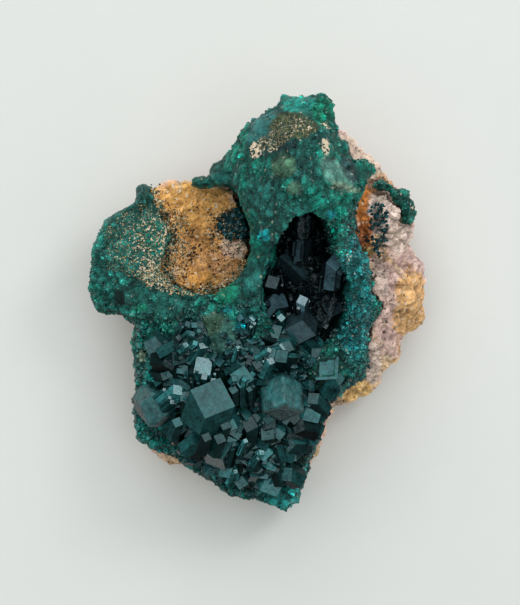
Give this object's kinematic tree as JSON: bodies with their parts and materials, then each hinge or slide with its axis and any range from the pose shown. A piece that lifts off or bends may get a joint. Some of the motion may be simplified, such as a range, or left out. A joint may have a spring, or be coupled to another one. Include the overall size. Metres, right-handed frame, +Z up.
{
  "type": "dioptase specimen",
  "caption": "Hand specimen of teal dioptase crystals in a thick crust on pink and ochre matrix rock, with a dark crystal-lined hollow under a dome.",
  "frame": {"origin": "on the flat broken face under the matrix that the specimen lies on, under the middle of the specimen", "axes": "+Z up, out of the crystals' side; +Y towards the dome; +X towards the bare matrix ledges"},
  "size_m": [0.0456, 0.0559, 0.0303],
  "materials": {
    "matrix": "broken, granular rock in pink, tan and ochre",
    "dioptase": "blue-green crystals, glassy on their faces and sugary between them",
    "dark_dioptase": "dark blue-green glassy prisms"
  },
  "bodies": {
    "root": {"matrix_rock": "matrix", "dioptase_crust": "dioptase", "hollow_crystals": "dark_dioptase", "edge_dioptase": "dioptase"}
  },
  "joints": []
}
